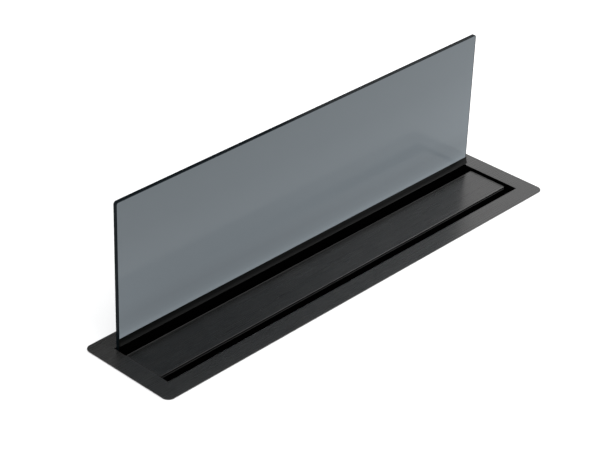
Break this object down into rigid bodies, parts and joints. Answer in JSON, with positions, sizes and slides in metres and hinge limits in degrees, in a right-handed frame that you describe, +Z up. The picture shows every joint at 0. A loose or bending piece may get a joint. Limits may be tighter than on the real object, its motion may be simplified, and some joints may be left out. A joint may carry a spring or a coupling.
{
  "type": "retractable glass screen",
  "caption": "Tinted glass screen that rises from a flush black frame with a recessed lift-out cover and air slots, over a built-in lift housing.",
  "frame": {"origin": "centre of the frame's footprint on the worktop plane, at the underside of the sealing tape", "axes": "+X along the frame, +Y towards the glass at the rear, +Z up, the way the screen rises"},
  "size_m": [0.88, 0.216, 0.606],
  "materials": {
    "frame_coating": "satin black powder coat",
    "cover_coating": "satin black powder coat",
    "trim_coating": "dark satin",
    "tinted_glass": "polished, blue-grey tint",
    "housing_steel": "galvanised sheet",
    "foam_tape": "closed-cell foam",
    "seal_rubber": "matt",
    "filter_frame": "satin",
    "filter_mesh": "woven",
    "carriage_aluminium": "anodised",
    "ground_steel": "ground",
    "motor_steel": "plated",
    "nut_brass": "turned",
    "dark_plastic": "fine grain",
    "board_green": "solder mask",
    "zinc_screws": "zinc plated"
  },
  "bodies": {
    "housing": {"flange_frame": "frame_coating", "front_panel": "housing_steel", "rear_panel": "housing_steel", "end_plate_left": "housing_steel", "end_plate_right": "housing_steel", "base_plate": "housing_steel", "chamber_floor": "housing_steel", "chamber_end_left": "housing_steel", "chamber_end_right": "housing_steel", "divider_panel": "housing_steel", "front_support": "housing_steel", "duct_spigot": "housing_steel", "motor_bracket": "housing_steel", "clamp_brackets": "housing_steel", "seal_tape": "foam_tape", "rear_wiper": "seal_rubber", "cover_pads": "seal_rubber", "drive_belt": "seal_rubber", "top_bearing_blocks": "carriage_aluminium", "low_bearing_blocks": "carriage_aluminium", "gearbox": "carriage_aluminium", "guide_rail_left": "ground_steel", "guide_rail_right": "ground_steel", "screw_bearings": "ground_steel", "motor_can": "motor_steel", "control_box": "dark_plastic", "control_box_lid": "dark_plastic", "cable_gland": "dark_plastic", "gland_nut": "dark_plastic", "end_sensors": "dark_plastic", "circuit_board": "board_green", "panel_screws": "zinc_screws", "clamp_screws": "zinc_screws"},
    "screen": {"glass_pane": "tinted_glass", "base_trim": "trim_coating", "carriage_beam": "carriage_aluminium", "glass_liners": "seal_rubber", "setting_blocks": "dark_plastic", "lift_bracket_left": "carriage_aluminium", "lift_bracket_right": "carriage_aluminium", "guide_block_left": "ground_steel", "guide_block_right": "ground_steel", "screw_nuts": "nut_brass", "bracket_screws": "zinc_screws", "sensor_magnet": "motor_steel"},
    "cover": {"cover_plate": "cover_coating", "cover_frame": "cover_coating", "cover_standoffs": "filter_frame", "filter_frame_left": "filter_frame", "filter_frame_right": "filter_frame", "filter_mesh_left": "filter_mesh", "filter_mesh_right": "filter_mesh"},
    "screw_left": {"lead_screw_left": "ground_steel", "screw_pulley_left": "carriage_aluminium"},
    "screw_right": {"lead_screw_right": "ground_steel", "screw_pulley_right": "carriage_aluminium"},
    "motor_drive": {"motor_shaft": "ground_steel", "motor_pulley": "carriage_aluminium"}
  },
  "joints": [
    {"name": "glass_lift", "type": "slide", "parent": "housing", "child": "screen", "axis": [0, 0, 1], "range_m": [-0.254, 0]},
    {"name": "cover_lift", "type": "slide", "parent": "housing", "child": "cover", "axis": [0, 0, 1], "range_m": [0, 0.12]},
    {"name": "screw_spin_left", "type": "hinge", "parent": "housing", "child": "screw_left", "pos_m": [-0.4135, 0.034, -0.2], "axis": [0, 0, 1], "continuous": true},
    {"name": "screw_spin_right", "type": "hinge", "parent": "housing", "child": "screw_right", "pos_m": [0.4135, 0.034, -0.2], "axis": [0, 0, 1], "continuous": true},
    {"name": "motor_spin", "type": "hinge", "parent": "housing", "child": "motor_drive", "pos_m": [0, -0.01, -0.2], "axis": [0, 0, 1], "continuous": true}
  ],
  "couplings": [
    {"joint": "screw_spin_left", "follows": "glass_lift", "rad_per_m": -785.4},
    {"joint": "screw_spin_right", "follows": "glass_lift", "rad_per_m": -785.4},
    {"joint": "motor_spin", "follows": "glass_lift", "rad_per_m": -785.4}
  ]
}
